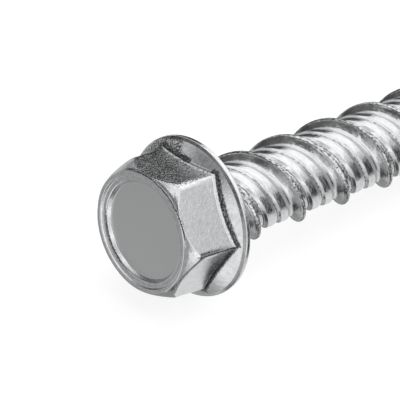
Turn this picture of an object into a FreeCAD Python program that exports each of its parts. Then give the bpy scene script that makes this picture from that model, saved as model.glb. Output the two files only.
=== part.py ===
import FreeCAD, Part
import math
import os

# Concrete screw anchor: a one-piece steel screw with a washer-faced hex head and a two-start
# right-hand thread that cuts its way into a drilled hole. Millimetres and degrees.
#
# The anchor is built standing along Z, with the bearing face under the head at Z = 0, the head
# below it and the tip above it. X points at a corner of the hex. At the end it is laid on its side.

# Head
HEX_ACROSS_FLATS = 11.11
HEAD_HEIGHT = 6.25
END_FACE_DIAMETER = 11.0
CORNER_CHAMFER_ANGLE = 55.0

# Dished end of the head, from its rim inwards: a raised rim, a step down to a flat border, the dish
END_RIM_WIDTH = 0.35
STEP_SLOPE = 0.2
STEP_DEPTH = 0.2
BORDER_WIDTH = 0.45
DISH_WALL_SLOPE = 0.25
DISH_DEPTH = 0.4

# Washer flange, of one piece with the head
FLANGE_DIAMETER = 14.5
RIM_THICKNESS = 0.6
RIM_CHAMFER = 0.24
FLANGE_SLOPE_ANGLE = 26.5

# Shank under the head
LENGTH_UNDER_HEAD = 44.45
NECK_DIAMETER = 6.6
NECK_CLEARANCE = 0.3
NECK_CONE_LENGTH = 0.9
NECK_LENGTH = 2.0
THREAD_RUNOUT = 1.2
TIP_DIAMETER = 5.0
TIP_TAPER_LENGTH = 3.6

# Thread: crest and root, and between two turns of the crest a pair of low ridges
THREAD_STARTS = 2
CREST_SPACING = 5.56
CREST_DIAMETER = 8.0
ROOT_DIAMETER = 6.2
LOW_RIDGE_DIAMETER = 6.8
RIDGE_VALLEY_DIAMETER = 6.46
CREST_LAND = 0.24
TIP_SIDE_FLANK = 0.4
ROOT_LAND = 0.62
RIDGE_RISE = 0.33
FIRST_RIDGE_LAND = 0.82
VALLEY_FALL = 0.48
VALLEY_RISE = 0.33
SECOND_RIDGE_LAND = 0.82
RIDGE_FALL = 0.74
CREST_ANGLE_AT_HEAD = -69.1

# How the anchor lies: a flat of the hex looks up, turned a little off level
FLAT_TURN = 1.2
HEX_SIDES = 6

# Values that follow from the sizes above
CREST_RADIUS = CREST_DIAMETER / 2
ROOT_RADIUS = ROOT_DIAMETER / 2
LOW_RIDGE_RADIUS = LOW_RIDGE_DIAMETER / 2
VALLEY_RADIUS = RIDGE_VALLEY_DIAMETER / 2
FLANGE_RADIUS = FLANGE_DIAMETER / 2
NECK_RADIUS = NECK_DIAMETER / 2
END_FACE_RADIUS = END_FACE_DIAMETER / 2
STEP_RADIUS = END_FACE_RADIUS - END_RIM_WIDTH
BORDER_RADIUS = STEP_RADIUS - STEP_SLOPE
DISH_RADIUS = BORDER_RADIUS - BORDER_WIDTH
TIP_RADIUS = TIP_DIAMETER / 2
HEX_CORNER_RADIUS = HEX_ACROSS_FLATS / 2 / math.cos(math.pi / HEX_SIDES)
LEAD = CREST_SPACING * THREAD_STARTS
FULL_TURN = 360.0

ORIGIN = FreeCAD.Vector(0, 0, 0)
AXIS = FreeCAD.Vector(0, 0, 1)
SIDEWAYS = FreeCAD.Vector(0, 1, 0)


def turned(outline):
    """Return the solid swept by turning an outline of (radius, height) points about the axis."""
    points = [FreeCAD.Vector(radius, 0, height) for radius, height in outline]
    face = Part.Face(Part.makePolygon(points + points[:1]))
    return face.revolve(ORIGIN, AXIS, FULL_TURN)


def hex_prism():
    """Return the six-sided bar that the wrench grips, from the end face to the bearing face."""
    corners = []
    for side in range(HEX_SIDES + 1):
        angle = 2 * math.pi * side / HEX_SIDES
        corners.append(
            FreeCAD.Vector(
                HEX_CORNER_RADIUS * math.cos(angle), HEX_CORNER_RADIUS * math.sin(angle), -HEAD_HEIGHT
            )
        )
    return Part.Face(Part.makePolygon(corners)).extrude(AXIS * HEAD_HEIGHT)


def corner_chamfer():
    """Return the turned blank whose cone rounds off the outer corners of the hex."""
    outer = HEX_CORNER_RADIUS + RIM_THICKNESS
    cone_height = (outer - END_FACE_RADIUS) * math.tan(math.radians(CORNER_CHAMFER_ANGLE))
    return turned(
        [
            (0, -HEAD_HEIGHT),
            (END_FACE_RADIUS, -HEAD_HEIGHT),
            (outer, cone_height - HEAD_HEIGHT),
            (outer, 0),
            (0, 0),
        ]
    )


def end_dish():
    """Return what is pressed into the end face: a step down to a flat border, and a shallow dish."""
    border = STEP_DEPTH - HEAD_HEIGHT
    floor = border + DISH_DEPTH
    return turned(
        [
            (0, -HEAD_HEIGHT),
            (STEP_RADIUS, -HEAD_HEIGHT),
            (BORDER_RADIUS, border),
            (DISH_RADIUS, border),
            (DISH_RADIUS - DISH_WALL_SLOPE, floor),
            (0, floor),
        ]
    )


def washer_flange():
    """Return the flange: a flat bearing face, a thin rim, and a cone that rises to the hex."""
    slope = math.tan(math.radians(FLANGE_SLOPE_ANGLE))
    cone_radius = FLANGE_RADIUS - RIM_CHAMFER
    return turned(
        [
            (0, 0),
            (cone_radius, 0),
            (FLANGE_RADIUS, -RIM_CHAMFER),
            (FLANGE_RADIUS, -RIM_THICKNESS),
            (cone_radius, -RIM_THICKNESS - RIM_CHAMFER),
            (0, -RIM_THICKNESS - RIM_CHAMFER - cone_radius * slope),
        ]
    )


def head():
    """Return the hex head with its flange, chamfered corners and dished end."""
    hexagon = hex_prism().common(corner_chamfer())
    return hexagon.cut(end_dish()).fuse(washer_flange())


def thread_outline():
    """Return one lead of the thread in section, as (height, radius) points from crest to crest."""
    steps = [
        (CREST_LAND, CREST_RADIUS),
        (TIP_SIDE_FLANK, ROOT_RADIUS),
        (ROOT_LAND, ROOT_RADIUS),
        (RIDGE_RISE, LOW_RIDGE_RADIUS),
        (FIRST_RIDGE_LAND, LOW_RIDGE_RADIUS),
        (VALLEY_FALL, VALLEY_RADIUS),
        (VALLEY_RISE, LOW_RIDGE_RADIUS),
        (SECOND_RIDGE_LAND, LOW_RIDGE_RADIUS),
        (RIDGE_FALL, ROOT_RADIUS),
    ]
    points = []
    for start in range(THREAD_STARTS):
        first_crest = start * CREST_SPACING - CREST_LAND / 2
        height = first_crest
        points.append((height, CREST_RADIUS))
        for width, radius in steps:
            height += width
            points.append((height, radius))
    points.append((LEAD - CREST_LAND / 2, CREST_RADIUS))
    return points


def helix(height, radius):
    """Return one right-hand turn of a helix that starts at a height above the bearing face."""
    turn = Part.makeHelix(LEAD, LEAD, radius)
    turn.rotate(ORIGIN, AXIS, CREST_ANGLE_AT_HEAD)
    turn.translate(AXIS * height)
    return turn.Edges[0]


def thread_skin():
    """Return the helical skin of the thread, which runs past both ends of the shank."""
    turns_above = math.ceil(LENGTH_UNDER_HEAD / LEAD)
    outline = thread_outline()
    strips = []
    for turn in range(-1, turns_above):
        base = turn * LEAD
        for (low, low_radius), (high, high_radius) in zip(outline, outline[1:]):
            edges = helix(base + low, low_radius), helix(base + high, high_radius)
            strips.append(Part.makeRuledSurface(*edges).Faces[0])
    skin = Part.Compound(strips)
    skin.sewShape()
    return skin.Shells[0]


def shank_blank():
    """Return the turned bar around the thread: it grows out of the neck and tapers to the tip."""
    bar_radius = CREST_RADIUS + CREST_LAND
    growth = (CREST_RADIUS - NECK_RADIUS) / THREAD_RUNOUT
    taper = (CREST_RADIUS - TIP_RADIUS) / TIP_TAPER_LENGTH
    return turned(
        [
            (0, NECK_LENGTH),
            (NECK_RADIUS, NECK_LENGTH),
            (bar_radius, NECK_LENGTH + (bar_radius - NECK_RADIUS) / growth),
            (bar_radius, LENGTH_UNDER_HEAD - (bar_radius - TIP_RADIUS) / taper),
            (TIP_RADIUS, LENGTH_UNDER_HEAD),
            (0, LENGTH_UNDER_HEAD),
        ]
    )


def threaded_shank():
    """Return the shank: the part of the bar that lies inside the helical skin."""
    pieces = shank_blank().generalFuse([thread_skin()])[0].Solids
    middle = AXIS * (LENGTH_UNDER_HEAD / 2)
    tolerance = 0.001
    return next(piece for piece in pieces if piece.isInside(middle, tolerance, True))


def neck():
    """Return the plain neck that widens to the bearing face, where the thread has run out."""
    return turned(
        [
            (0, 0),
            (CREST_RADIUS + NECK_CLEARANCE, 0),
            (NECK_RADIUS, NECK_CONE_LENGTH),
            (NECK_RADIUS, NECK_LENGTH),
            (0, NECK_LENGTH),
        ]
    )


def lie_down(solid):
    """Lay the anchor along X on its rim and crests, with its box centred over the origin."""
    taper_start = LENGTH_UNDER_HEAD - TIP_TAPER_LENGTH
    tilt = math.atan2(FLANGE_RADIUS - CREST_RADIUS, taper_start + RIM_CHAMFER)
    flat_middle = -FULL_TURN / HEX_SIDES / 2 - FLAT_TURN
    solid.rotate(ORIGIN, AXIS, FULL_TURN / 2 - flat_middle)
    solid.rotate(ORIGIN, SIDEWAYS, FULL_TURN / 4 + math.degrees(tilt))
    head_end = -HEAD_HEIGHT * math.cos(tilt) - END_FACE_RADIUS * math.sin(tilt)
    tip_end = LENGTH_UNDER_HEAD * math.cos(tilt) + TIP_RADIUS * math.sin(tilt)
    lift = FLANGE_RADIUS * math.cos(tilt) - RIM_CHAMFER * math.sin(tilt)
    solid.translate(FreeCAD.Vector(-(head_end + tip_end) / 2, 0, lift))
    return solid


def screw_anchor():
    """Return the whole anchor as one solid, lying as it comes to rest."""
    body = head().fuse([neck(), threaded_shank()]).removeSplitter()
    return lie_down(body.Solids[0])


os.makedirs("parts", exist_ok=True)
screw_anchor().exportStep("parts/screw_anchor.step")
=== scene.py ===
"""Dress the concrete screw anchor: a zinc-plated screw with a hex washer head, on a pale floor.

The pieces are made standing along Z, in millimetres, with the bearing face at Z = 0, the head below
it and the tip above it. They are then laid down in the frame, in metres.
"""

import logging
import math
from dataclasses import dataclass
from enum import Enum

import bmesh
import bpy
from mathutils import Matrix, Vector


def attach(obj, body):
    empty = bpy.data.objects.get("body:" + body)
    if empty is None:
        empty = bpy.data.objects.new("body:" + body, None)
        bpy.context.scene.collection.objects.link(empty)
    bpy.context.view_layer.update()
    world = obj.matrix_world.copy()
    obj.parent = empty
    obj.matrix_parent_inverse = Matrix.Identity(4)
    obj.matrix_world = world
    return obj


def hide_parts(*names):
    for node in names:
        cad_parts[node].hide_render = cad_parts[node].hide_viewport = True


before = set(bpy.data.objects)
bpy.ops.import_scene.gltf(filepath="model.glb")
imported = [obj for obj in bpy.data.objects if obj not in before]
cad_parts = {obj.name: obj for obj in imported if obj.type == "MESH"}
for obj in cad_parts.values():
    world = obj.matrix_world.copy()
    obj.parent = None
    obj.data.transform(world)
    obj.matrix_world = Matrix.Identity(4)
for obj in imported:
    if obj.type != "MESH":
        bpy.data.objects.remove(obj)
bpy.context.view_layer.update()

LOG = logging.getLogger("screw_anchor_scene")
BODY = "root"
NODE = "screw_anchor"
MM = 0.001
FULL_TURN = 2 * math.pi
HEX_SIDES = 6
SIXTH = FULL_TURN / HEX_SIDES
AXIS = Vector((0, 0, 1))
ORIGIN = Vector((0, 0, 0))

# Smallest length or sine that is divided by
TINY = 1e-9
# Largest shares of a straight run that a rounding at its end and a support span may take
LARGEST_ROUNDING = 0.45
LARGEST_SUPPORT = 0.2
# Level where no shade is painted and the plating is unweathered, the lowest a vertex is given
UNMARKED = -3.0


@dataclass(frozen=True)
class Corner:
    """A corner of a section outline, in millimetres.

    Attributes:
        radius: Distance from the screw's axis.
        height: Height above the bearing face, towards the tip.
        rounding: Radius that rounds the corner off.
        arc_steps: Spans on the rounding.
        run_steps: Spans on the straight run from here to the next corner.
    """

    radius: float
    height: float
    rounding: float = 0.0
    arc_steps: int = 6
    run_steps: int = 1


@dataclass(frozen=True)
class Band:
    """A soft-edged band: its level is above 0.5 inside it and falls evenly across its border.

    Attributes:
        middle: The middle of the band.
        half_width: Distance from the middle to where the level is 0.5.
        softness: Distance over which the level changes by 1.
    """

    middle: float
    half_width: float
    softness: float

    def level(self, value: float) -> float:
        """Return the band's level at a place."""
        return 0.5 + (self.half_width - abs(value - self.middle)) / self.softness

    def shortfall(self, value: float) -> float:
        """Return how far the level is below 0.5, which is 0 inside the band."""
        return max(abs(value - self.middle) - self.half_width, 0) / self.softness


@dataclass(frozen=True)
class Stretch:
    """A stretch of bearings about the axis, in degrees from a corner of the hex.

    Attributes:
        start: Bearing at which it starts.
        end: Bearing at which it ends.
    """

    start: float
    end: float

    def holds(self, turn: float) -> bool:
        """Return whether a bearing lies in the stretch."""
        return self.start < turn < self.end


def round_off(
    before: Vector, spot: Vector, after: Vector, corner: Corner
) -> tuple[Vector, list[Vector], Vector]:
    """Round one corner of an outline off.

    Args:
        before: The corner before it.
        spot: Where the corner lies.
        after: The corner after it.
        corner: The corner.

    Returns:
        Where the rounding starts, the points on it, and where it ends.
    """
    inward, outward = spot - before, after - spot
    reach = LARGEST_ROUNDING * min(inward.length, outward.length)
    inward.normalize()
    outward.normalize()
    turn = math.atan2(inward.x * outward.y - inward.y * outward.x, inward.dot(outward))
    bend = abs(turn)
    tangent = min(corner.rounding * math.tan(bend / 2), reach)
    true_radius = tangent / max(math.tan(bend / 2), TINY)
    lean = max(math.sin(bend), TINY)
    start, end = spot - inward * tangent, spot + outward * tangent
    first_side = Vector((-inward.y, inward.x)) * math.copysign(1, turn)
    arc = []
    for step in range(corner.arc_steps + 1):
        share = step / corner.arc_steps
        chord = math.sin(bend * (1 - share)), math.sin(bend * share)
        heading = (inward * chord[0] + outward * chord[1]) / lean
        side = Vector((-heading.y, heading.x)) * math.copysign(1, turn)
        arc.append(start + first_side * true_radius - side * true_radius)
    return start, arc, end


def rounded_outline(corners: list[Corner], support: float = 0.03) -> list[Vector]:
    """Return the points of an outline whose corners are rounded off.

    Args:
        corners: The outline's corners in order; the first and the last stay sharp.
        support: Length of the short spans that keep the shading of a straight run flat.

    Returns:
        Points as (radius, height), as many for any sizes of the same list of corners.
    """
    spots = [Vector((corner.radius, corner.height)) for corner in corners]
    starts, arcs, ends = [spots[0]], [[spots[0]]], [spots[0]]
    for before, spot, after, corner in zip(spots, spots[1:], spots[2:], corners[1:]):
        start, arc, end = round_off(before, spot, after, corner)
        starts.append(start)
        arcs.append(arc)
        ends.append(end)
    starts.append(spots[-1])
    points = []
    for corner, arc, end, next_start in zip(corners, arcs, ends, starts[1:]):
        points.extend(arc)
        shares = [step / corner.run_steps for step in range(1, corner.run_steps)]
        if support:
            margin = min(support / max((next_start - end).length, TINY), LARGEST_SUPPORT)
            shares = [margin, *shares, 1 - margin]
        points.extend(end.lerp(next_start, share) for share in shares)
    points.append(spots[-1])
    return points


def smooth_least(first: float, second: float, blend: float) -> float:
    """Return the smaller of two values, with a soft change over from one to the other.

    Args:
        first: One value.
        second: The other value.
        blend: Difference over which the change is soft.

    Returns:
        The softened minimum.
    """
    share = max(blend - abs(first - second), 0.0) / blend
    return min(first, second) - share * share * blend / 4


def ease(value: float, low: float, high: float) -> float:
    """Return a smooth step from 0 at low to 1 at high."""
    share = min(max((value - low) / (high - low), 0.0), 1.0)
    return share * share * (3 - 2 * share)


def finished_piece(name: str, maker: bmesh.types.BMesh, lay_down: Matrix) -> bpy.types.Object:
    """Lay a standing mesh down and turn it into an object of the scene.

    Args:
        name: Name of the piece.
        maker: The standing mesh, in millimetres.
        lay_down: Transform from the standing anchor to the frame.

    Returns:
        The object, at the origin, with its place in its mesh.
    """
    bmesh.ops.transform(maker, matrix=lay_down, verts=maker.verts)
    bmesh.ops.recalc_face_normals(maker, faces=maker.faces)
    for face in maker.faces:
        face.smooth = True
    mesh = bpy.data.meshes.new(name)
    maker.to_mesh(mesh)
    maker.free()
    piece = bpy.data.objects.new(name, mesh)
    bpy.context.scene.collection.objects.link(piece)
    return piece


class Socket(Enum):
    """Kind of a node group's socket."""

    VECTOR = "NodeSocketVector"
    COLOR = "NodeSocketColor"
    FLOAT = "NodeSocketFloat"


@dataclass(frozen=True)
class Ramp:
    """A soft-ended ramp that carries one range of values to another.

    Attributes:
        low: Value that is carried to the floor.
        high: Value that is carried to the top.
        floor: Result at the low end.
        top: Result at the high end.
    """

    low: float
    high: float
    floor: float
    top: float


@dataclass
class GroupMaker:
    """A new shader node group and the means to fill it.

    Attributes:
        name: Name of the group.
        inputs: Kind of each socket that it is given, by name.
        outputs: Kind of each socket that it hands on, by name.
    """

    name: str
    inputs: dict[str, Socket]
    outputs: dict[str, Socket]

    def __post_init__(self) -> None:
        """Make the group with its sockets."""
        self.tree = bpy.data.node_groups.new(self.name, "ShaderNodeTree")
        for way, sockets in (("INPUT", self.inputs), ("OUTPUT", self.outputs)):
            for label, kind in sockets.items():
                self.tree.interface.new_socket(label, in_out=way, socket_type=kind.value)
        self.given = self.tree.nodes.new("NodeGroupInput").outputs
        self.result = self.tree.nodes.new("NodeGroupOutput").inputs

    def hand_on(self, label: str, source: bpy.types.NodeSocket) -> None:
        """Feed one of the group's outputs."""
        self.tree.links.new(source, self.result[label])

    def node(
        self, kind: str, feeds: dict[str | int, bpy.types.NodeSocket], operation: str = ""
    ) -> bpy.types.Node:
        """Add a node.

        Args:
            kind: Type of the node.
            feeds: What feeds its inputs, by their name or number.
            operation: What the node works out, if it has a choice.

        Returns:
            The node.
        """
        made = self.tree.nodes.new(kind)
        if operation:
            made.operation = operation
        for label, source in feeds.items():
            self.tree.links.new(source, made.inputs[label])
        return made

    def combine(
        self, operation: str, first: bpy.types.NodeSocket, second: bpy.types.NodeSocket
    ) -> bpy.types.NodeSocket:
        """Return two values added or multiplied."""
        return self.node("ShaderNodeMath", {0: first, 1: second}, operation).outputs["Value"]

    def remap(self, source: bpy.types.NodeSocket, ramp: Ramp) -> bpy.types.NodeSocket:
        """Return a value carried along a ramp."""
        made = self.node("ShaderNodeMapRange", {"Value": source})
        made.interpolation_type = "SMOOTHSTEP"
        made.inputs["From Min"].default_value = ramp.low
        made.inputs["From Max"].default_value = ramp.high
        made.inputs["To Min"].default_value = ramp.floor
        made.inputs["To Max"].default_value = ramp.top
        return made.outputs["Result"]


class Shade(Enum):
    """Tone of the metal under its plating."""

    BRIGHT = (0.70, 0.71, 0.72)
    STRUCK = (0.60, 0.605, 0.61)


@dataclass(frozen=True)
class Grain:
    """A noise in the plating.

    Attributes:
        share: Its scale, as a share of the finish's own.
        detail: How many finer layers it has.
    """

    share: float
    detail: float


@dataclass(frozen=True)
class MottledPlating:
    """How zinc plating is mottled by grain and clouds, and darkened where shade is painted."""

    grain: Grain = Grain(1.0, 2.0)
    roughening: Ramp = Ramp(0.0, 0.25, 1.0, 3.0)
    fray: Grain = Grain(1.1, 2.0)
    fray_ramp: Ramp = Ramp(0.3, 0.7, -0.4, 0.4)
    painted_shade_ramp: Ramp = Ramp(0.3, 0.7, 0.0, 1.0)
    specks: Grain = Grain(1.4, 1.0)
    speck_ramp: Ramp = Ramp(0.5, 0.66, 0.0, 0.5)
    clouds: Grain = Grain(0.45, 3.0)
    cloud_ramp: Ramp = Ramp(0.3, 0.7, 0.93, 1.04)
    smears: Grain = Grain(0.35, 2.0)
    smear_ramp: Ramp = Ramp(0.35, 0.65, 0.75, 1.25)

    def noise(self, maker: GroupMaker, grain: Grain) -> bpy.types.NodeSocket:
        """Add a noise to the group.

        Args:
            maker: The group.
            grain: The noise.

        Returns:
            The noise's value.
        """
        scale = maker.node("ShaderNodeMath", {0: maker.given["Grain Scale"]}, "MULTIPLY")
        scale.inputs[1].default_value = grain.share
        feeds = {"Vector": maker.given["Place"], "Scale": scale.outputs["Value"]}
        made = maker.node("ShaderNodeTexNoise", feeds)
        made.inputs["Detail"].default_value = grain.detail
        return made.outputs["Fac"]

    def group(self) -> bpy.types.NodeTree:
        """Return the node group that works out the plating's colour, height and roughness."""
        maker = GroupMaker(
            "plating_with_painted_shade",
            {
                "Place": Socket.VECTOR, "Metal": Socket.COLOR, "Grain Scale": Socket.FLOAT,
                "Shade And Wear": Socket.FLOAT, "Painted Shade": Socket.FLOAT, "Polish": Socket.FLOAT,
            },
            {"Color": Socket.COLOR, "Height": Socket.FLOAT, "Roughness": Socket.FLOAT},
        )
        given = maker.given
        fray = maker.remap(self.noise(maker, self.fray), self.fray_ramp)
        # Painted shade: the plating turns to the dark tone where the level for shade and wear,
        # frayed by noise, is high
        painted_shade = maker.remap(maker.combine("ADD", given["Shade And Wear"], fray), self.painted_shade_ramp)
        speck = maker.remap(self.noise(maker, self.specks), self.speck_ramp)
        dark_tone = maker.combine("ADD", given["Painted Shade"], speck)
        unshaded_tone = maker.remap(self.noise(maker, self.clouds), self.cloud_ramp)
        mixed = maker.node("ShaderNodeMix", {"Factor": painted_shade, "A": unshaded_tone, "B": dark_tone})
        feeds = {0: given["Metal"], "Scale": mixed.outputs["Result"]}
        tint = maker.node("ShaderNodeVectorMath", feeds, "SCALE")
        maker.hand_on("Color", tint.outputs["Vector"])
        grain = self.noise(maker, self.grain)
        roughened = maker.remap(given["Shade And Wear"], self.roughening)
        maker.hand_on("Height", maker.combine("MULTIPLY", grain, roughened))
        smear = maker.remap(self.noise(maker, self.smears), self.smear_ramp)
        maker.hand_on("Roughness", maker.combine("MULTIPLY", given["Polish"], smear))
        return maker.tree


@dataclass(frozen=True)
class ZincFinish:
    """A plated finish.

    Attributes:
        name: Name of the material.
        shade: Tone of the metal.
        roughness: Mean roughness.
        grain: Strength of the grain.
        grain_scale: How fine the grain is, in grains per unit of its coordinates.
        painted_shade: Tone of the painted shade, as a share of the metal's.
        along_thread: Whether the grain is drawn out along the thread, on the piece's own map.
        draw_out: Scale of the grain along the thread, across it and through it.
        grain_height: Height of the grain at full strength, in metres.
    """

    name: str
    shade: Shade
    roughness: float
    grain: float
    grain_scale: float
    painted_shade: float = 0.10
    along_thread: bool = False
    draw_out: tuple[float, float, float] = (0.7, 1.0, 1.0)
    grain_height: float = 0.00004

    def place(self, tree: bpy.types.NodeTree) -> bpy.types.NodeSocket:
        """Add the coordinates that the grain follows.

        Args:
            tree: The material's nodes.

        Returns:
            The coordinates.
        """
        if not self.along_thread:
            return tree.nodes.new("ShaderNodeTexCoord").outputs["Object"]
        thread_map = tree.nodes.new("ShaderNodeUVMap")
        thread_map.uv_map = "along_thread"
        drawn_out = tree.nodes.new("ShaderNodeMapping")
        drawn_out.inputs["Scale"].default_value = self.draw_out
        tree.links.new(thread_map.outputs["UV"], drawn_out.inputs["Vector"])
        return drawn_out.outputs["Vector"]

    def material(self, group: bpy.types.NodeTree) -> bpy.types.Material:
        """Return the finish as a node material.

        Args:
            group: The node group that mottles the plating.

        Returns:
            The material.
        """
        made = bpy.data.materials.new(self.name)
        made.use_nodes = True
        nodes, links = made.node_tree.nodes, made.node_tree.links
        shader = nodes["Principled BSDF"]
        shader.inputs["Metallic"].default_value = 1.0
        # Level of painted shade and weathering, kept on the pieces' vertices
        shade_and_wear = nodes.new("ShaderNodeAttribute")
        shade_and_wear.attribute_name = "shade_and_wear"
        mottle = nodes.new("ShaderNodeGroup")
        mottle.node_tree = group
        mottle.inputs["Metal"].default_value = (*self.shade.value, 1.0)
        mottle.inputs["Grain Scale"].default_value = self.grain_scale
        mottle.inputs["Polish"].default_value = self.roughness
        # Tone of the painted shade
        mottle.inputs["Painted Shade"].default_value = self.painted_shade
        links.new(self.place(made.node_tree), mottle.inputs["Place"])
        links.new(shade_and_wear.outputs["Fac"], mottle.inputs["Shade And Wear"])
        bump = nodes.new("ShaderNodeBump")
        bump.inputs["Strength"].default_value = self.grain
        bump.inputs["Distance"].default_value = self.grain_height
        links.new(mottle.outputs["Height"], bump.inputs["Height"])
        links.new(bump.outputs["Normal"], shader.inputs["Normal"])
        links.new(mottle.outputs["Color"], shader.inputs["Base Color"])
        links.new(mottle.outputs["Roughness"], shader.inputs["Roughness"])
        return made


@dataclass
class Finishes:
    """The materials that the pieces share."""

    plating: bpy.types.Material
    struck: bpy.types.Material
    thread: bpy.types.Material

    @classmethod
    def make(cls) -> "Finishes":
        """Return the finishes as materials."""
        group = MottledPlating().group()
        plating = ZincFinish(
            "zinc_plating", Shade.BRIGHT, roughness=0.2, grain=0.32, grain_scale=6500
        )
        struck = ZincFinish(
            "struck_end_face", Shade.STRUCK, roughness=0.5, grain=0.05, grain_scale=40
        )
        thread = ZincFinish(
            "rolled_thread", Shade.BRIGHT, roughness=0.2, grain=0.5, grain_scale=5.0,
            painted_shade=0.22, along_thread=True,
        )
        return cls(plating.material(group), struck.material(group), thread.material(group))


@dataclass(frozen=True)
class HeadMarks:
    """Painted shade in strips and lines on the head, and its weathering, as in the photograph.

    Bearings are degrees about the axis from a corner of the hex, and lengths are millimetres.

    Attributes:
        foot: Strip of painted shade at the foot of the hex, by the distance beyond the foot.
        shaded_foot: The same strip on the shaded side.
        shaded_side: Side of the hex that lies in shade.
        unshaded_foot: Stretch of the foot where the strip is not painted.
        unshaded_loss: How far the strip's level falls there.
        end_zone: Depth of the zone at the end face that has marks of its own.
        edge: Painted dark line along one edge of the hex, by the distance from that edge.
        dish: Line of painted shade at the inner edge of the border round the dish, by the distance
            outside it.
        dish_bearings: Where the line round the dish shows.
        rim: Painted dark line round the end face's rim, by the distance outside it.
        rim_bearings: Where the line round the rim shows.
        flange_wear_and_shade: Weathering of the flange's cone, by bearing, that in part darkens it
            as painted shade.
        flange_wear_and_shade_limit: Highest level of that weathering and shade.
        flat_wear_and_shade: Weathering of the flat that looks up, by bearing, that in part darkens
            it as painted shade.
        flat_wear_and_shade_limit: Highest level of that weathering and shade.
        flat_margin: How far inside the hexagon a place still counts as on its flats.
        shoulder: Line of painted shade along the shoulder of the shaded side, by the height above
            it.
        shoulder_side: Where the line along the shoulder may show.
        shoulder_fade: Where that line fades out.
        shoulder_loss: How far its level falls there.
        shoulder_margin: How far inside the hex's foot a place still counts as on the shoulder.
    """

    foot: Band = Band(0.28, 0.21, 0.12)
    shaded_foot: Band = Band(0.02, 0.24, 0.12)
    shaded_side: Stretch = Stretch(60, 120)
    unshaded_foot: Stretch = Stretch(336, 356)
    unshaded_loss: float = 4.0
    end_zone: float = 0.75
    edge: Band = Band(0.05, 0.09, 0.08)
    dish: Band = Band(0.06, 0.08, 0.08)
    dish_bearings: Band = Band(207, 26, 10)
    rim: Band = Band(0.0, 0.05, 0.08)
    rim_bearings: Band = Band(0, 42, 10)
    flange_wear_and_shade: Band = Band(285, 34, 8.0)
    flange_wear_and_shade_limit: float = 0.48
    flat_wear_and_shade: Band = Band(320, 62, 8.0)
    flat_wear_and_shade_limit: float = 0.30
    flat_margin: float = 0.08
    shoulder: Band = Band(0.08, 0.11, 0.08)
    shoulder_side: Stretch = Stretch(61, 125)
    shoulder_fade: Stretch = Stretch(105, 120)
    shoulder_loss: float = 4
    shoulder_margin: float = 0.2


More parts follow.
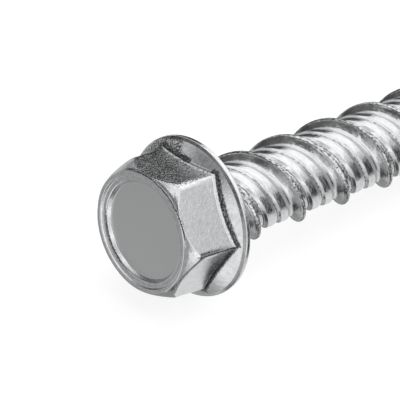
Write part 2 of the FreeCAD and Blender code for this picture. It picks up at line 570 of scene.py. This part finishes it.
@dataclass
class HexWasherHead:
    """The hex head with its dished end, its washer flange and the neck under it.

    Lengths are millimetres, and bearings are degrees about the axis from a corner of the hex.
    """

    across_flats: float = 11.11
    height: float = 6.25
    end_radius: float = 5.5
    corner_drop: float = 1.5
    corner_oval: float = 0.4
    corner_crown: float = 1.3
    end_shift: float = 0.2
    end_shift_bearing: float = 325.0
    end_cut: float = 0.18
    end_cut_bearing: float = 68.0
    foot_rounding: float = 0.22
    top_rounding: float = 0.85
    shoulder_shares: tuple[float, float, float] = (0.35, 0.7, 1.0)
    end_rim_width: float = 0.35
    step_slope: float = 0.1
    step_depth: float = 0.2
    border_width: float = 0.45
    dish_wall_slope: float = 0.25
    dish_depth: float = 0.4
    flange_radius: float = 7.25
    rim_thickness: float = 0.6
    rim_chamfer: float = 0.24
    flange_angle: float = 26.5
    root_fillet: float = 0.5
    neck_top_radius: float = 4.3
    neck_radius: float = 3.3
    neck_cone: float = 0.9
    neck_length: float = 2.05
    columns_per_side: int = 72
    crowding: float = 0.9
    weld: float = 0.0005
    marks: HeadMarks = HeadMarks()

    @property
    def cone_radius(self) -> float:
        """Radius at which the flange's cone meets its chamfer."""
        return self.flange_radius - self.rim_chamfer

    @property
    def dish_radius(self) -> float:
        """Radius at which the flat border meets the dish."""
        return self.end_radius - self.end_rim_width - self.step_slope - self.border_width

    def junction(self, foot: float) -> float:
        """Return the height at which the flange's cone meets a hex that reaches out to the foot."""
        slope = math.tan(math.radians(self.flange_angle))
        return -self.rim_thickness - self.rim_chamfer - (self.cone_radius - foot) * slope

    def hex_radius(self, angle: float, rounding: float) -> float:
        """Return how far the rounded hexagon reaches in a direction.

        Args:
            angle: Direction about the axis, from a corner.
            rounding: Radius that rounds the hexagon's corners off.

        Returns:
            Distance from the axis.
        """
        off_corner = abs((angle + SIXTH / 2) % SIXTH - SIXTH / 2)
        flat = self.across_flats / 2
        centre = (flat - rounding) / math.cos(SIXTH / 2)
        tangent_point = (flat - rounding) * math.tan(SIXTH / 2)
        off_flat = SIXTH / 2 - off_corner
        if off_flat <= math.atan2(tangent_point, flat):
            return flat / math.cos(off_flat)
        across = centre * math.sin(off_corner)
        return centre * math.cos(off_corner) + math.sqrt(rounding**2 - across**2)

    def rim_radius(self, angle: float) -> float:
        """Return where the end face's rim ends, which is cut back on one side of the head."""
        facing = max(math.cos(angle - math.radians(self.end_cut_bearing)), 0)
        return self.end_radius - self.end_cut * facing**2

    def shoulder_drop(self, radius: float, angle: float) -> float:
        """Return how far the end face has dropped away at a place beyond its rim.

        Args:
            radius: Distance from the axis.
            angle: Direction about the axis, from a corner of the hex.

        Returns:
            Height above the end face.
        """
        rim = self.rim_radius(angle)
        share = max(radius - rim, 0.0) / (self.across_flats / 2 / math.cos(SIXTH / 2) - rim)
        drop = self.corner_drop + self.corner_oval * math.cos(2 * (angle - 2 * SIXTH))
        return drop * share**self.corner_crown

    def corners(self, angle: float) -> list[Corner]:
        """Return the head's section at an angle about the axis.

        Args:
            angle: Direction about the axis, from a corner of the hex.

        Returns:
            Corners from the middle of the end face, over the flange, to the middle of the neck.
        """
        foot = self.hex_radius(angle, self.foot_rounding)
        hexagon = self.hex_radius(angle, self.top_rounding)
        rim = self.rim_radius(angle)
        end = -self.height
        border = end + self.step_depth
        dish = border + self.dish_depth
        step_radius = self.end_radius - self.end_rim_width
        radii = [rim + (hexagon - rim) * share for share in self.shoulder_shares]
        first, second, last = [
            (radius, end + self.shoulder_drop(radius, angle)) for radius in radii
        ]
        return [
            Corner(0.0, dish, run_steps=8),
            Corner(self.dish_radius - self.dish_wall_slope, dish, rounding=0.12),
            Corner(self.dish_radius, border, rounding=0.18),
            Corner(step_radius - self.step_slope, border, rounding=0.12, arc_steps=5),
            Corner(step_radius, end, rounding=0.1),
            Corner(rim, end, rounding=0.1),
            Corner(*first, rounding=0.9, arc_steps=4),
            Corner(*second, rounding=0.9, arc_steps=4),
            Corner(*last, rounding=0.3, run_steps=4),
            Corner(foot, self.junction(foot), self.root_fillet, arc_steps=14, run_steps=6),
            Corner(self.cone_radius, -self.rim_thickness - self.rim_chamfer, rounding=0.2),
            Corner(self.flange_radius, -self.rim_thickness, rounding=0.16),
            Corner(self.flange_radius, -self.rim_chamfer, rounding=0.2),
            Corner(self.cone_radius, 0.0, rounding=0.2, run_steps=3),
            Corner(self.neck_top_radius, 0.0, rounding=0.12, arc_steps=4),
            Corner(self.neck_radius, self.neck_cone, rounding=0.8, arc_steps=8),
            Corner(self.neck_radius, self.neck_length, rounding=0.02, arc_steps=2, run_steps=2),
            Corner(0.0, self.neck_length),
        ]

    def shade_and_wear_level(self, radius: float, height: float, angle: float) -> float:
        """Return the level of painted shade and weathering at a place on the head.

        Args:
            radius: Distance from the axis.
            height: Height above the bearing face.
            angle: Direction about the axis, from a corner of the hex.

        Returns:
            Above 0.5 inside the painted shade and below it outside, changing evenly across its
            border.
            A weathered place has a lower level, which coarsens its grain and, where the noise
            lifts it, darkens it in part as painted shade.
        """
        if height > -self.rim_thickness:
            return UNMARKED
        marks = self.marks
        turn = math.degrees(angle) % 360
        foot = self.hex_radius(angle, self.foot_rounding)
        hexagon = self.hex_radius(angle, self.top_rounding)
        junction = self.junction(foot)
        # Painted shade: a dark strip along the foot of the hex, left out where the foot stays
        # unshaded
        strip = marks.shaded_foot if marks.shaded_side.holds(turn) else marks.foot
        loss = marks.unshaded_loss if marks.unshaded_foot.holds(turn) else 0.0
        levels = [UNMARKED, strip.level(radius - foot - max(junction - height, 0.0)) - loss]
        # Painted shade in a line round the dish, and a painted dark line round the rim
        if height < marks.end_zone - self.height:
            from_corner = (turn + 180) % 360 - 180
            dish = marks.dish.level(radius - self.dish_radius)
            rim = marks.rim.level(radius - self.end_radius)
            levels.append(dish - marks.dish_bearings.shortfall(turn))
            levels.append(rim - marks.rim_bearings.shortfall(from_corner))
        elif height < junction:
            # A painted dark line along one edge of the hex
            levels.append(marks.edge.level(radius * math.sin(angle - SIXTH)))
        # Weathering, which coarsens the grain and in part darkens the flange's cone and the upward
        # flat as painted shade
        if height > junction:
            levels.append(min(marks.flange_wear_and_shade.level(turn), marks.flange_wear_and_shade_limit))
        elif radius > hexagon - marks.flat_margin:
            levels.append(min(marks.flat_wear_and_shade.level(turn), marks.flat_wear_and_shade_limit))
        # Painted shade in a line along the shoulder on the shaded side
        if radius > foot - marks.shoulder_margin and marks.shoulder_side.holds(turn):
            shoulder = -self.height + self.shoulder_drop(hexagon, angle)
            faded = ease(turn, marks.shoulder_fade.start, marks.shoulder_fade.end)
            levels.append(marks.shoulder.level(height - shoulder) - marks.shoulder_loss * faded)
        return max(levels)

    def fan(self, maker: bmesh.types.BMesh, stations: int) -> None:
        """Spin a plain fan of columns about the axis.

        Args:
            maker: The mesh.
            stations: How many places a column has, from the end face to the neck.
        """
        station = maker.verts.layers.int.new("station")
        row = [maker.verts.new((1.0 + index, 0, 0)) for index in range(stations)]
        for index, vert in enumerate(row):
            vert[station] = index
        edges = [maker.edges.new(pair) for pair in zip(row, row[1:])]
        bmesh.ops.spin(
            maker, geom=row + edges, cent=ORIGIN, axis=AXIS, dvec=ORIGIN,
            angle=SIXTH, steps=self.columns_per_side, use_merge=False, use_duplicate=False,
        )
        first_side = maker.verts[:] + maker.edges[:] + maker.faces[:]
        for side in range(1, HEX_SIDES):
            copied = bmesh.ops.duplicate(maker, geom=first_side)["geom"]
            verts = [item for item in copied if isinstance(item, bmesh.types.BMVert)]
            turned = Matrix.Rotation(SIXTH * side, 3, "Z")
            bmesh.ops.rotate(maker, cent=ORIGIN, matrix=turned, verts=verts)
        bmesh.ops.remove_doubles(maker, verts=maker.verts, dist=self.weld)

    def shape(self, maker: bmesh.types.BMesh) -> None:
        """Give each column of the fan the section at its angle, and its painted shade and wear."""
        station = maker.verts.layers.int["station"]
        shade_and_wear = maker.verts.layers.float["shade_and_wear"]
        bearing = math.radians(self.end_shift_bearing)
        sections: dict[int, tuple[float, list[Vector]]] = {}
        for vert in maker.verts:
            column = round(math.atan2(vert.co.y, vert.co.x) / SIXTH * self.columns_per_side)
            if column not in sections:
                even = SIXTH * column / self.columns_per_side
                angle = even - self.crowding * math.sin(HEX_SIDES * even) / HEX_SIDES
                sections[column] = angle, rounded_outline(self.corners(angle))
            angle, points = sections[column]
            radius, height = points[vert[station]]
            vert[shade_and_wear] = self.shade_and_wear_level(radius, height, angle)
            shift = self.end_shift * ease(-height, self.rim_thickness, self.height)
            vert.co = (
                radius * math.cos(angle) + shift * math.cos(bearing),
                radius * math.sin(angle) + shift * math.sin(bearing),
                height,
            )
        bmesh.ops.remove_doubles(maker, verts=maker.verts, dist=self.weld)

    def build(self, lay_down: Matrix, finishes: Finishes) -> bpy.types.Object:
        """Build the head and dress it, with the struck disc in a finish of its own.

        Args:
            lay_down: Transform from the standing anchor to the frame.
            finishes: The materials.

        Returns:
            The head as one closed shell.
        """
        outline = rounded_outline(self.corners(0.0))
        disc_radius = self.dish_radius - self.dish_wall_slope
        disc_stations = sum(point.x < disc_radius for point in outline[: len(outline) // 2])
        maker = bmesh.new()
        maker.verts.layers.float.new("shade_and_wear")
        self.fan(maker, len(outline))
        self.shape(maker)
        station = maker.verts.layers.int["station"]
        for face in maker.faces:
            struck = max(vert[station] for vert in face.verts) < disc_stations
            face.material_index = 1 if struck else 0
        piece = finished_piece("hex_washer_head", maker, lay_down)
        piece.data.materials.append(finishes.plating)
        piece.data.materials.append(finishes.struck)
        return piece


@dataclass
class ThreadedShank:
    """The two-start thread, its run-out at the neck and its tapered tip, in millimetres."""

    length: float = 44.45
    starts: int = 2
    crest_spacing: float = 5.56
    crest_radius: float = 4.0
    root_radius: float = 3.1
    ridge_radius: float = 3.4
    valley_radius: float = 3.23
    crest_land: float = 0.24
    tip_flank: float = 0.4
    root_land: float = 0.62
    ridge_rise: float = 0.33
    first_ridge: float = 0.82
    valley_fall: float = 0.48
    valley_rise: float = 0.33
    second_ridge: float = 0.82
    ridge_fall: float = 0.74
    crest_angle: float = -69.1
    neck_radius: float = 3.3
    neck_length: float = 2.0
    neck_overlap: float = 0.9
    neck_blend: float = 0.2
    runout: float = 1.2
    tip_radius: float = 2.5
    taper_length: float = 3.6
    trim_blend: float = 0.08
    # Painted dark reflection at a crest and painted shade along the root and in the valley,
    # by the distance from a crest, from a line beside it and from the valley
    crest_dark_reflection: Band = Band(0.0, 0.1, 0.4)
    root_line_shade: Band = Band(0.0, 0.05, 0.09)
    valley_shade: Band = Band(0.0, 0.04, 0.12)
    first_line: float = 0.05
    steps_per_turn: int = 200
    weld: float = 0.001
    cut_tolerance: float = 1e-5

    @property
    def lead(self) -> float:
        """How far a thread moves on in one turn."""
        return self.starts * self.crest_spacing

    def corners(self) -> list[Corner]:
        """Return one lead of the thread in section, from crest to crest."""
        # Width from the corner before, radius, rounding, spans on the rounding and on the next run
        steps = [
            (0.0, self.crest_radius, 0.12, 3, 1),
            (self.crest_land, self.crest_radius, 0.12, 3, 2),
            (self.tip_flank, self.root_radius, 0.16, 3, 1),
            (self.root_land, self.root_radius, 0.2, 2, 1),
            (self.ridge_rise, self.ridge_radius, 0.08, 2, 3),
            (self.first_ridge, self.ridge_radius, 0.25, 2, 1),
            (self.valley_fall, self.valley_radius, 0.06, 2, 1),
            (self.valley_rise, self.ridge_radius, 0.08, 2, 3),
            (self.second_ridge, self.ridge_radius, 0.25, 2, 2),
            (self.ridge_fall, self.root_radius, 0.5, 3, 2),
        ]
        found = []
        for start in range(self.starts):
            height = start * self.crest_spacing - self.crest_land / 2
            for width, radius, rounding, arc_steps, run_steps in steps:
                height += width
                found.append(Corner(radius, height, rounding, arc_steps, run_steps))
        found.append(Corner(self.crest_radius, self.lead - self.crest_land / 2))
        return found

    def shade_and_wear_level(self, height: float) -> float:
        """Return the painted shade and dark reflection on the thread at a height in its section.

        Args:
            height: Height in the section, from the middle of a crest.

        Returns:
            Above 0.5 where shade and a dark reflection are painted, changing evenly across its
            border.
        """
        place = height % self.crest_spacing
        foot = self.crest_land / 2 + self.tip_flank
        valley = foot + self.root_land + self.ridge_rise + self.first_ridge + self.valley_fall
        # Painted dark reflection at the crest, painted shade along two lines at the root and in the
        # valley
        return max(
            UNMARKED,
            self.crest_dark_reflection.level(min(place, self.crest_spacing - place)),
            self.root_line_shade.level(place - (foot + self.first_line)),
            self.root_line_shade.level(place - (foot + self.root_land)),
            self.valley_shade.level(place - valley),
        )

    def trimmed_radius(self, radius: float, height: float) -> float:
        """Return the thread's radius after the run-out at the neck and the taper at the tip.

        Args:
            radius: Radius of the endless thread.
            height: Height above the bearing face.

        Returns:
            The radius of the real shank.
        """
        growth = (self.crest_radius - self.neck_radius) / self.runout
        taper = (self.crest_radius - self.tip_radius) / self.taper_length
        grown = self.neck_radius + (height - self.neck_length) * growth
        tapered = self.tip_radius + (self.length - height) * taper
        kept = smooth_least(radius, grown, self.trim_blend)
        kept = smooth_least(kept, tapered, self.trim_blend)
        share = ease(height, self.neck_length - self.neck_blend, self.neck_length + self.neck_blend)
        return self.neck_radius * (1 - share) + kept * share

    def sweep(self, maker: bmesh.types.BMesh) -> None:
        """Sweep the section along its helix, past both ends of the shank, with its grain's map."""
        across = maker.verts.layers.float.new("across")
        shade_and_wear = maker.verts.layers.float.new("shade_and_wear")
        outline = rounded_outline(self.corners(), support=0.0)
        row = [maker.verts.new((point.x, 0, point.y - self.lead)) for point in outline]
        for vert in row:
            vert[across] = vert.co.z
            vert[shade_and_wear] = self.shade_and_wear_level(vert.co.z)
        edges = [maker.edges.new(pair) for pair in zip(row, row[1:])]
        bmesh.ops.spin(
            maker, geom=row + edges, cent=ORIGIN, axis=AXIS,
            dvec=AXIS * (self.lead / self.steps_per_turn), angle=FULL_TURN,
            steps=self.steps_per_turn, use_merge=False, use_duplicate=False,
        )
        first_turn = maker.verts[:] + maker.edges[:] + maker.faces[:]
        for turn in range(1, math.ceil(self.length / self.lead) + 1):
            copied = bmesh.ops.duplicate(maker, geom=first_turn)["geom"]
            verts = [item for item in copied if isinstance(item, bmesh.types.BMVert)]
            bmesh.ops.translate(maker, vec=AXIS * (self.lead * turn), verts=verts)
        thread_map = maker.loops.layers.uv.new("along_thread")
        for face in maker.faces:
            for loop in face.loops:
                here = loop.vert
                along = (here.co.z - here[across]) / self.lead * FULL_TURN * self.ridge_radius
                loop[thread_map].uv = along, here[across]
        bmesh.ops.remove_doubles(maker, verts=maker.verts, dist=self.weld)
        turned = Matrix.Rotation(math.radians(self.crest_angle), 3, "Z")
        bmesh.ops.rotate(maker, cent=ORIGIN, matrix=turned, verts=maker.verts)

    def trim(self, maker: bmesh.types.BMesh) -> None:
        """Cut the ends off square, shape the run-out and the taper, and close the ends."""
        for height, side in ((self.neck_length - self.neck_overlap, -AXIS), (self.length, AXIS)):
            everything = maker.verts[:] + maker.edges[:] + maker.faces[:]
            bmesh.ops.bisect_plane(
                maker, geom=everything, dist=self.cut_tolerance, plane_co=AXIS * height,
                plane_no=side, clear_outer=True, clear_inner=False,
            )
        for vert in maker.verts:
            radius = vert.co.xy.length
            kept = self.trimmed_radius(radius, vert.co.z) / radius
            vert.co.x *= kept
            vert.co.y *= kept
        rims = [edge for edge in maker.edges if edge.is_boundary]
        bmesh.ops.holes_fill(maker, edges=rims, sides=0)

    def build(self, lay_down: Matrix, finishes: Finishes) -> bpy.types.Object:
        """Build the shank and dress it.

        Args:
            lay_down: Transform from the standing anchor to the frame.
            finishes: The materials.

        Returns:
            The shank as one closed shell.
        """
        maker = bmesh.new()
        self.sweep(maker)
        self.trim(maker)
        piece = finished_piece("threaded_shank", maker, lay_down)
        piece.data.materials.append(finishes.thread)
        return piece


@dataclass
class LyingPose:
    """How the anchor lies on the floor: on its flange's rim and its crests.

    Attributes:
        head: The head, which lies on its flange's rim.
        shank: The shank, which lies on its crests.
        flat_up: Degrees that turn a flat of the hex up.
        flat_turn: Degrees that this flat is turned off level.
    """

    head: HexWasherHead
    shank: ThreadedShank
    flat_up: float = 210.0
    flat_turn: float = 1.2

    def matrix(self) -> Matrix:
        """Return the transform from the standing anchor, in mm, to the frame, in metres."""
        head, shank = self.head, self.shank
        span = shank.length - shank.taper_length + head.rim_chamfer
        tilt = math.atan2(head.flange_radius - shank.crest_radius, span)
        head_end = -head.height * math.cos(tilt) - head.end_radius * math.sin(tilt)
        tip_end = shank.length * math.cos(tilt) + shank.tip_radius * math.sin(tilt)
        lift = head.flange_radius * math.cos(tilt) - head.rim_chamfer * math.sin(tilt)
        spin = Matrix.Rotation(math.radians(self.flat_up + self.flat_turn), 4, "Z")
        lean = Matrix.Rotation(math.pi / 2 + tilt, 4, "Y")
        place = Matrix.Translation((-(head_end + tip_end) / 2, 0, lift))
        return Matrix.Scale(MM, 4) @ place @ lean @ spin


def direction(bearing: float, elevation: float) -> Vector:
    """Return a unit vector.

    Args:
        bearing: Compass direction in degrees, from +X towards +Y.
        elevation: Degrees above the floor.

    Returns:
        The direction.
    """
    turn, rise = math.radians(bearing), math.radians(elevation)
    level = math.cos(rise)
    return Vector((level * math.cos(turn), level * math.sin(turn), math.sin(rise)))


@dataclass(frozen=True)
class SoftPanel:
    """A soft-edged panel of light, or a dark card, in the studio round the anchor.

    Attributes:
        start: Bearing and elevation of the middle of one end, in degrees.
        end: Bearing and elevation of the middle of the other end.
        core: Degrees from its middle line to where it starts to fade.
        edge: Degrees from its middle line to where it has faded out.
        level: Brightness, where 1 is white.
    """

    start: tuple[float, float]
    end: tuple[float, float]
    core: float
    edge: float
    level: float

    @staticmethod
    def group() -> bpy.types.NodeTree:
        """Return the node group that lays one soft-edged panel over the light behind it."""
        maker = GroupMaker(
            "soft_panel",
            {
                "Direction": Socket.VECTOR, "Start": Socket.VECTOR, "End": Socket.VECTOR,
                "Core": Socket.FLOAT, "Edge": Socket.FLOAT,
                "Level": Socket.FLOAT, "Behind": Socket.FLOAT,
            },
            {"Level": Socket.FLOAT},
        )
        given, vector = maker.given, "ShaderNodeVectorMath"
        start, looking = given["Start"], given["Direction"]
        span = maker.node(vector, {0: given["End"], 1: start}, "SUBTRACT").outputs["Vector"]
        offset = maker.node(vector, {0: looking, 1: start}, "SUBTRACT").outputs["Vector"]
        reach = maker.node(vector, {0: offset, 1: span}, "DOT_PRODUCT").outputs["Value"]
        whole = maker.node(vector, {0: span, 1: span}, "DOT_PRODUCT").outputs["Value"]
        share = maker.node("ShaderNodeMath", {0: reach, 1: whole}, "DIVIDE")
        share.use_clamp = True
        feeds = {0: span, 1: share.outputs["Value"], 2: start}
        nearest = maker.node(vector, feeds, "MULTIPLY_ADD").outputs["Vector"]
        unit = maker.node(vector, {0: nearest}, "NORMALIZE").outputs["Vector"]
        facing = maker.node(vector, {0: looking, 1: unit}, "DOT_PRODUCT").outputs["Value"]
        feeds = {"Value": facing, "From Min": given["Edge"], "From Max": given["Core"]}
        fade = maker.node("ShaderNodeMapRange", feeds)
        fade.interpolation_type = "SMOOTHSTEP"
        feeds = {"Factor": fade.outputs["Result"], "A": given["Behind"], "B": given["Level"]}
        maker.hand_on("Level", maker.node("ShaderNodeMix", feeds).outputs["Result"])
        return maker.tree

    def hang(
        self, tree: bpy.types.NodeTree, group: bpy.types.NodeTree,
        looking: bpy.types.NodeSocket, behind: bpy.types.NodeSocket,
    ) -> bpy.types.NodeSocket:
        """Hang the panel in the studio.

        Args:
            tree: The world's nodes.
            group: The node group that lays a panel over the light behind it.
            looking: Direction that is looked in.
            behind: Brightness behind the panel.

        Returns:
            The brightness with the panel in front.
        """
        made = tree.nodes.new("ShaderNodeGroup")
        made.node_tree = group
        made.inputs["Start"].default_value = direction(*self.start)
        made.inputs["End"].default_value = direction(*self.end)
        made.inputs["Core"].default_value = math.cos(math.radians(self.core))
        made.inputs["Edge"].default_value = math.cos(math.radians(self.edge))
        made.inputs["Level"].default_value = self.level
        tree.links.new(looking, made.inputs["Direction"])
        tree.links.new(behind, made.inputs["Behind"])
        return made.outputs["Level"]


@dataclass
class PaleFloor:
    """The pale floor, which curves up to a wall all round and is seen by the camera alone."""

    outline: tuple[tuple[float, float], ...] = (
        (0, 0), (1.2, 0), (1.4, 0.06), (1.5, 0.3), (1.5, 3.0),
    )
    steps: int = 96
    weld: float = 1e-6
    tone: float = 0.35
    glow: float = 0.80

    def paint(self) -> bpy.types.Material:
        """Return the floor's matt paint."""
        made = bpy.data.materials.new("pale_floor")
        made.use_nodes = True
        shader = made.node_tree.nodes["Principled BSDF"]
        shader.inputs["Base Color"].default_value = (self.tone, self.tone, self.tone, 1)
        shader.inputs["Roughness"].default_value = 1.0
        shader.inputs["Specular IOR Level"].default_value = 0.0
        shader.inputs["Emission Color"].default_value = (1, 1, 1, 1)
        shader.inputs["Emission Strength"].default_value = self.glow
        return made

    def build(self) -> None:
        """Spin the floor, link it to the scene and set which rays see it."""
        maker = bmesh.new()
        row = [maker.verts.new((reach, 0, height)) for reach, height in self.outline]
        edges = [maker.edges.new(pair) for pair in zip(row, row[1:])]
        bmesh.ops.spin(
            maker, geom=row + edges, cent=ORIGIN, axis=AXIS, dvec=ORIGIN,
            angle=FULL_TURN, steps=self.steps, use_merge=True, use_duplicate=False,
        )
        bmesh.ops.remove_doubles(maker, verts=maker.verts, dist=self.weld)
        bmesh.ops.recalc_face_normals(maker, faces=maker.faces)
        bmesh.ops.reverse_faces(maker, faces=maker.faces)
        mesh = bpy.data.meshes.new("floor")
        maker.to_mesh(mesh)
        maker.free()
        mesh.materials.append(self.paint())
        floor = bpy.data.objects.new("floor", mesh)
        bpy.context.scene.collection.objects.link(floor)
        floor.visible_glossy = False
        floor.visible_diffuse = False
        floor.visible_shadow = False


@dataclass
class Studio:
    """The camera, the floor and the soft light, whose panels are laid over one another in order."""

    camera_place: tuple[float, float, float] = (-0.1918518, -0.1827456, 0.153973)
    camera_aim: tuple[float, float, float] = (0.59656439, 0.62763583, -0.50018417)
    lens: float = 302.63
    sensor: float = 36.0
    clip: tuple[float, float] = (0.01, 20.0)
    ambient: float = 0.66
    panels: tuple[SoftPanel, ...] = (
        SoftPanel((0, 78), (0, 62), 18, 34, 1.15),
        SoftPanel((-60, 60), (-64, 12), 8, 16, 1.0),
        SoftPanel((-56, 26), (-28, 38), 6, 14, 1.35),
        SoftPanel((-28, 40), (26, 45), 8, 15, 1.4),
        SoftPanel((14, 18), (14, 18), 10, 18, 1.3),
        SoftPanel((-102, 65), (-102, -28), 8, 15, 1.3),
        SoftPanel((-150, 66), (-120, 74), 7, 13, 1.2),
        SoftPanel((-20, -20), (-15, 2), 9, 18, 0.28),
        SoftPanel((-46, -4), (-43, -34), 6, 12, 0.04),
        SoftPanel((-22, -49), (25, -46), 8, 14, 0.85),
        SoftPanel((46, 4), (43, 26), 6, 12, 0.05),
        SoftPanel((95, 18), (115, 45), 9, 18, 0.07),
        SoftPanel((115, 46), (165, 57), 7, 14, 0.12),
        SoftPanel((-168, 52), (-152, 45), 5, 10, 0.15),
        SoftPanel((-150, 42), (-139, 8), 6, 12, 0.08),
        SoftPanel((-126, 20), (-116, 22), 5, 9, 1.4),
        SoftPanel((172, 38), (-165, 25), 7, 13, 0.42),
        SoftPanel((110, -4), (139, 6), 4, 8, 0.10),
        SoftPanel((151, 18), (166, 17), 6, 10, 0.22),
        SoftPanel((-130, -30), (-125, -55), 8, 18, 0.85),
        SoftPanel((-140, 0), (-141, -42), 6, 11, 0.38),
        SoftPanel((-145, -57), (-118, -62), 4, 9, 0.3),
        SoftPanel((-122, -27), (-116, -28), 5, 9, 1.35),
        SoftPanel((72, 11), (65, 13), 4, 8, 0.22),
        SoftPanel((-150, -22), (-158, -45), 5, 10, 0.42),
        SoftPanel((-153, 8), (-150, -18), 6, 10, 0.36),
        SoftPanel((-170, -66), (-165, -70), 8, 15, 0.5),
        # Dark card straight below: the anchor's shadow on the floor, painted into the light that
        # the metal reflects
        SoftPanel((-110, -80), (-90, -84), 12, 18, 0.06),
        SoftPanel((54, -55), (58, -70), 6, 14, 0.3),
        SoftPanel((159, -23), (174, -46), 6, 12, 1.1),
        SoftPanel((-175, 2), (-172, -28), 6, 12, 1.1),
        SoftPanel((136, -24), (130, -56), 8, 15, 0.36),
        SoftPanel((100, -38), (46, -28), 6, 14, 0.18),
    )

    def build_camera(self) -> None:
        """Set the camera where the photograph was taken from."""
        lens = bpy.data.cameras.new("camera")
        lens.sensor_width = self.sensor
        lens.lens = self.lens
        lens.clip_start, lens.clip_end = self.clip
        camera = bpy.data.objects.new("camera", lens)
        camera.location = self.camera_place
        camera.rotation_euler = Vector(self.camera_aim).to_track_quat("-Z", "Y").to_euler()
        bpy.context.scene.collection.objects.link(camera)
        bpy.context.scene.camera = camera

    def build_light(self) -> None:
        """Light the scene from all round, with soft panels and dark cards in a pale room."""
        world = bpy.data.worlds.new("studio")
        bpy.context.scene.world = world
        world.use_nodes = True
        nodes = world.node_tree.nodes
        looking = nodes.new("ShaderNodeTexCoord").outputs["Generated"]
        level = nodes.new("ShaderNodeValue").outputs["Value"]
        level.default_value = self.ambient
        group = SoftPanel.group()
        for panel in self.panels:
            level = panel.hang(world.node_tree, group, looking, level)
        background = nodes["Background"]
        background.inputs["Color"].default_value = (1, 1, 1, 1)
        world.node_tree.links.new(level, background.inputs["Strength"])

    def build(self) -> None:
        """Set up the camera, the light and the floor."""
        self.build_camera()
        self.build_light()
        PaleFloor().build()
        bpy.context.scene.view_settings.view_transform = "Standard"


def main() -> None:
    """Build the anchor's pieces and the studio."""
    logging.basicConfig(level=logging.INFO, format="%(message)s")
    head, shank = HexWasherHead(), ThreadedShank()
    lay_down, finishes = LyingPose(head, shank).matrix(), Finishes.make()
    for sub_assembly in (head, shank):
        piece = sub_assembly.build(lay_down, finishes)
        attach(piece, BODY)
        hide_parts(NODE)
        LOG.info("%s: %d faces", piece.name, len(piece.data.polygons))
    Studio().build()


if __name__ == "__main__":
    main()
